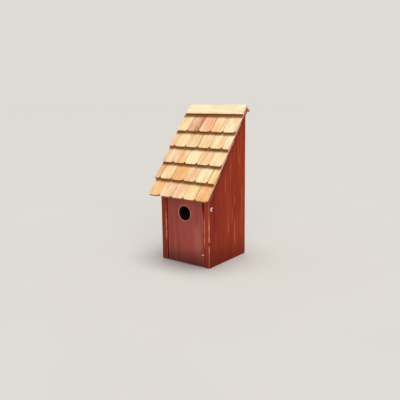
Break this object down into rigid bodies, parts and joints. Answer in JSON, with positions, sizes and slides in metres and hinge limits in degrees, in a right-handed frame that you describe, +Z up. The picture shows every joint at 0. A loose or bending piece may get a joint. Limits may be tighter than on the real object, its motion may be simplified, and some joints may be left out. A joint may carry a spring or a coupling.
{
  "type": "birdhouse",
  "caption": "Wooden nest box with a round entrance, a swinging front door and a steep shingled roof.",
  "frame": {"origin": "middle of the floor board's underside, where the box stands", "axes": "+X right as seen from the front, +Y towards the back board, +Z up"},
  "size_m": [0.1933, 0.198, 0.4071],
  "materials": {
    "stained_side": "satin red stain, worn on the edges",
    "stained_door": "satin red stain with a slight sheen",
    "stained_deck": "matt red stain",
    "shingle_wood": "bare sawn cypress",
    "cap_wood": "bare planed cypress",
    "zinc_steel": "zinc plated"
  },
  "bodies": {
    "house": {"left_side": "stained_side", "right_side": "stained_side", "back_board": "stained_side", "floor_board": "stained_side", "roof_deck": "stained_deck", "starter_lath": "shingle_wood", "shingle_1_1": "shingle_wood", "shingle_1_2": "shingle_wood", "shingle_1_3": "shingle_wood", "shingle_1_4": "shingle_wood", "shingle_1_5": "shingle_wood", "shingle_2_1": "shingle_wood", "shingle_2_2": "shingle_wood", "shingle_2_3": "shingle_wood", "shingle_2_4": "shingle_wood", "shingle_2_5": "shingle_wood", "shingle_2_6": "shingle_wood", "shingle_3_1": "shingle_wood", "shingle_3_2": "shingle_wood", "shingle_3_3": "shingle_wood", "shingle_3_4": "shingle_wood", "shingle_3_5": "shingle_wood", "shingle_4_1": "shingle_wood", "shingle_4_2": "shingle_wood", "shingle_4_3": "shingle_wood", "shingle_4_4": "shingle_wood", "shingle_4_5": "shingle_wood", "shingle_4_6": "shingle_wood", "shingle_5_1": "shingle_wood", "shingle_5_2": "shingle_wood", "shingle_5_3": "shingle_wood", "shingle_5_4": "shingle_wood", "shingle_5_5": "shingle_wood", "cap_front": "cap_wood", "cap_rear": "cap_wood", "side_nails_left": "zinc_steel", "side_nails_right": "zinc_steel", "deck_nails": "zinc_steel", "shingle_brads": "zinc_steel", "cap_brads": "zinc_steel", "starter_brads": "zinc_steel"},
    "door": {"door_panel": "stained_door", "pivot_screw_left": "zinc_steel", "pivot_screw_right": "zinc_steel", "corner_screw": "zinc_steel"}
  },
  "joints": [
    {"name": "door_hinge", "type": "hinge", "parent": "house", "child": "door", "pos_m": [0, -0.073, 0.153], "axis": [-1, 0, 0], "range_deg": [0, 100]}
  ]
}
